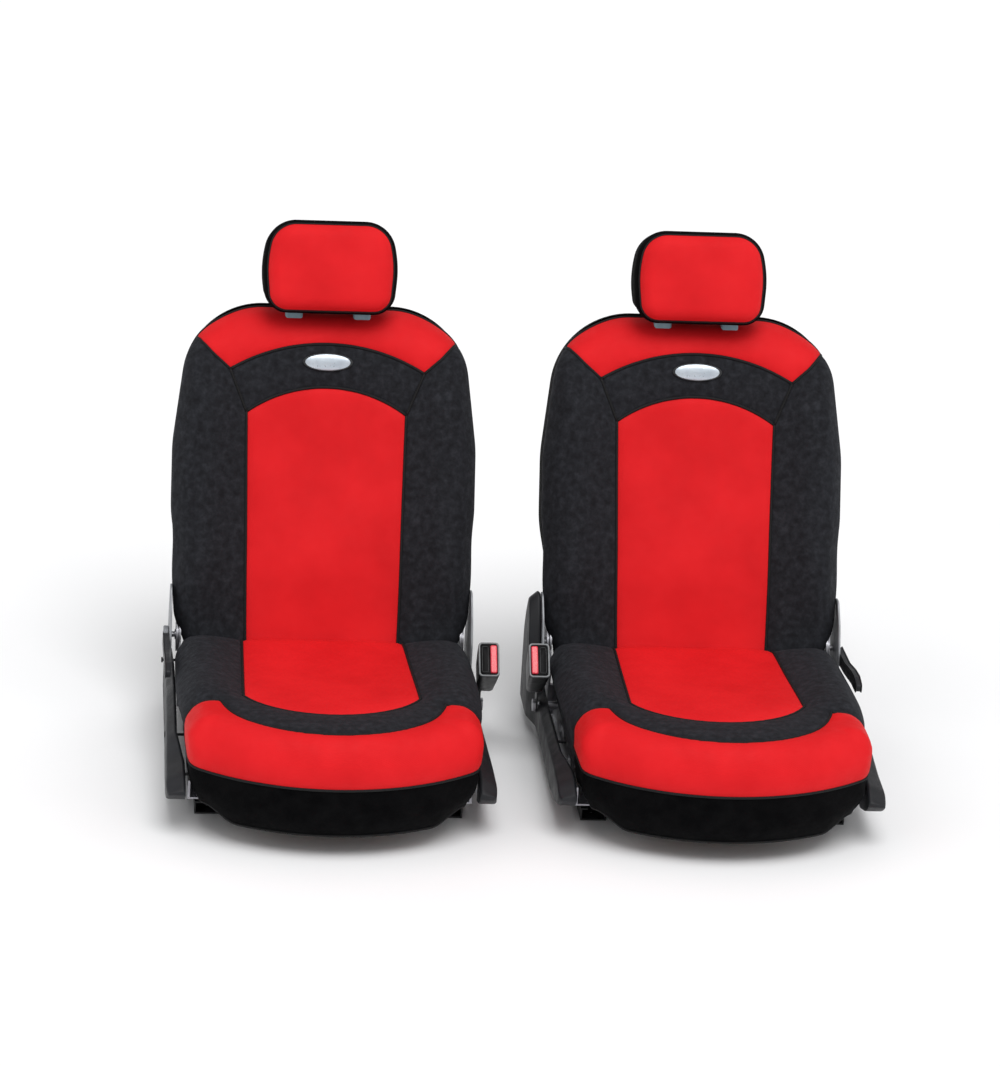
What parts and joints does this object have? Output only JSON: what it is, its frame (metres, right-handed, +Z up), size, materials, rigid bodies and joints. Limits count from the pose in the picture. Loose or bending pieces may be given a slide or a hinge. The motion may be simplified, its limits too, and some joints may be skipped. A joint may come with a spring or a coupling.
{
  "type": "seat cover set",
  "caption": "Pair of front bucket seats in a fitted red and black cover set: cushion, backrest and headrest covers in separate panels over sliding, reclining frames.",
  "frame": {"origin": "on the floor under the middle of the row's bounding box, midway between the two seats", "axes": "+Z up, the seats face -Y, +X towards the right-hand seat as seen from the front of the row"},
  "size_m": [1.212, 0.8984, 0.8618],
  "materials": {
    "steel": "zinc-plated, satin",
    "painted_steel": "black electrocoat, satin",
    "screw_steel": "black zinc",
    "foam": "moulded open-cell foam",
    "red_fabric": "smooth knit over thin foam, matt",
    "black_suede": "brushed suede-like knit, mottled",
    "black_knit": "plain stretch knit, matt",
    "trim_plastic": "fine-grained moulding",
    "guide_plastic": "smooth moulding",
    "buckle_plastic": "satin moulding",
    "button_red": "polished",
    "badge_silver": "satin, plain",
    "post_chrome": "polished"
  },
  "bodies": {
    "floor_tracks": {"lower_tracks": "painted_steel"},
    "left_base": {"left_upper_tracks": "painted_steel", "left_cushion_frame": "painted_steel", "left_seat_pan": "painted_steel", "left_cushion_foam": "foam", "left_cushion_cover_centre": "red_fabric", "left_cushion_cover_band": "black_suede", "left_cushion_cover_roll": "red_fabric", "left_cushion_cover_skirt": "black_knit", "left_outer_trim": "trim_plastic", "left_inner_trim": "trim_plastic", "left_trim_screws": "screw_steel"},
    "left_backrest": {"left_back_frame": "painted_steel", "left_back_foam": "foam", "left_back_cover_centre": "red_fabric", "left_back_cover_yoke": "black_suede", "left_back_cover_shoulder": "red_fabric", "left_back_cover_bolsters": "black_suede", "left_back_cover_rear": "black_knit", "left_badge": "badge_silver", "left_post_guides": "guide_plastic"},
    "left_headrest": {"left_headrest_posts": "post_chrome", "left_headrest_foam": "foam", "left_headrest_cover_front": "red_fabric", "left_headrest_cover_rear": "black_knit"},
    "left_buckle": {"left_buckle_stalk": "steel", "left_buckle_casing": "buckle_plastic"},
    "left_buckle_button": {"left_buckle_button": "button_red"},
    "left_recline_lever": {"left_recline_lever": "trim_plastic"},
    "left_slide_bar": {"left_slide_bar": "painted_steel"},
    "right_base": {"right_upper_tracks": "painted_steel", "right_cushion_frame": "painted_steel", "right_seat_pan": "painted_steel", "right_cushion_foam": "foam", "right_cushion_cover_centre": "red_fabric", "right_cushion_cover_band": "black_suede", "right_cushion_cover_roll": "red_fabric", "right_cushion_cover_skirt": "black_knit", "right_outer_trim": "trim_plastic", "right_inner_trim": "trim_plastic", "right_trim_screws": "screw_steel"},
    "right_backrest": {"right_back_frame": "painted_steel", "right_back_foam": "foam", "right_back_cover_centre": "red_fabric", "right_back_cover_yoke": "black_suede", "right_back_cover_shoulder": "red_fabric", "right_back_cover_bolsters": "black_suede", "right_back_cover_rear": "black_knit", "right_badge": "badge_silver", "right_post_guides": "guide_plastic"},
    "right_headrest": {"right_headrest_posts": "post_chrome", "right_headrest_foam": "foam", "right_headrest_cover_front": "red_fabric", "right_headrest_cover_rear": "black_knit"},
    "right_buckle": {"right_buckle_stalk": "steel", "right_buckle_casing": "buckle_plastic"},
    "right_buckle_button": {"right_buckle_button": "button_red"},
    "right_recline_lever": {"right_recline_lever": "trim_plastic"},
    "right_slide_bar": {"right_slide_bar": "painted_steel"}
  },
  "joints": [
    {"name": "left_seat_slide", "type": "slide", "parent": "floor_tracks", "child": "left_base", "axis": [0, 1, 0], "range_m": [-0.12, 0.12]},
    {"name": "left_backrest_recline", "type": "hinge", "parent": "left_base", "child": "left_backrest", "pos_m": [-0.328, 0.19508, 0.15026], "axis": [-1, 0, 0], "range_deg": [-18, 45]},
    {"name": "left_headrest_height", "type": "slide", "parent": "left_backrest", "child": "left_headrest", "axis": [0, 0.3551, 0.9348], "range_m": [0, 0.06]},
    {"name": "left_buckle_swing", "type": "hinge", "parent": "left_base", "child": "left_buckle", "pos_m": [-0.0508, 0.07577, 0.078], "axis": [1, 0, 0], "range_deg": [-18, 12]},
    {"name": "left_buckle_press", "type": "slide", "parent": "left_buckle", "child": "left_buckle_button", "axis": [0, 0.7314, -0.682], "range_m": [0, 0.005], "stiffness_N_per_m": 600, "springref_m": -0.004},
    {"name": "left_recline_lever_lift", "type": "hinge", "parent": "left_base", "child": "left_recline_lever", "pos_m": [-0.6, 0.19508, 0.15026], "axis": [-1, 0, 0], "range_deg": [0, 14], "stiffness_Nm_per_rad": 4, "springref_deg": -20.05},
    {"name": "left_slide_bar_lift", "type": "hinge", "parent": "left_base", "child": "left_slide_bar", "pos_m": [-0.328, -0.19623, 0.07], "axis": [-1, 0, 0], "range_deg": [0, 6], "stiffness_Nm_per_rad": 8, "springref_deg": -5.73},
    {"name": "right_seat_slide", "type": "slide", "parent": "floor_tracks", "child": "right_base", "axis": [0, 1, 0], "range_m": [-0.12, 0.12]},
    {"name": "right_backrest_recline", "type": "hinge", "parent": "right_base", "child": "right_backrest", "pos_m": [0.328, 0.19508, 0.15026], "axis": [-1, 0, 0], "range_deg": [-18, 45]},
    {"name": "right_headrest_height", "type": "slide", "parent": "right_backrest", "child": "right_headrest", "axis": [0, 0.3551, 0.9348], "range_m": [0, 0.06]},
    {"name": "right_buckle_swing", "type": "hinge", "parent": "right_base", "child": "right_buckle", "pos_m": [0.0508, 0.07577, 0.078], "axis": [1, 0, 0], "range_deg": [-18, 12]},
    {"name": "right_buckle_press", "type": "slide", "parent": "right_buckle", "child": "right_buckle_button", "axis": [0, 0.7314, -0.682], "range_m": [0, 0.005], "stiffness_N_per_m": 600, "springref_m": -0.004},
    {"name": "right_recline_lever_lift", "type": "hinge", "parent": "right_base", "child": "right_recline_lever", "pos_m": [0.6, 0.19508, 0.15026], "axis": [-1, 0, 0], "range_deg": [0, 14], "stiffness_Nm_per_rad": 4, "springref_deg": -20.05},
    {"name": "right_slide_bar_lift", "type": "hinge", "parent": "right_base", "child": "right_slide_bar", "pos_m": [0.328, -0.19623, 0.07], "axis": [-1, 0, 0], "range_deg": [0, 6], "stiffness_Nm_per_rad": 8, "springref_deg": -5.73}
  ]
}
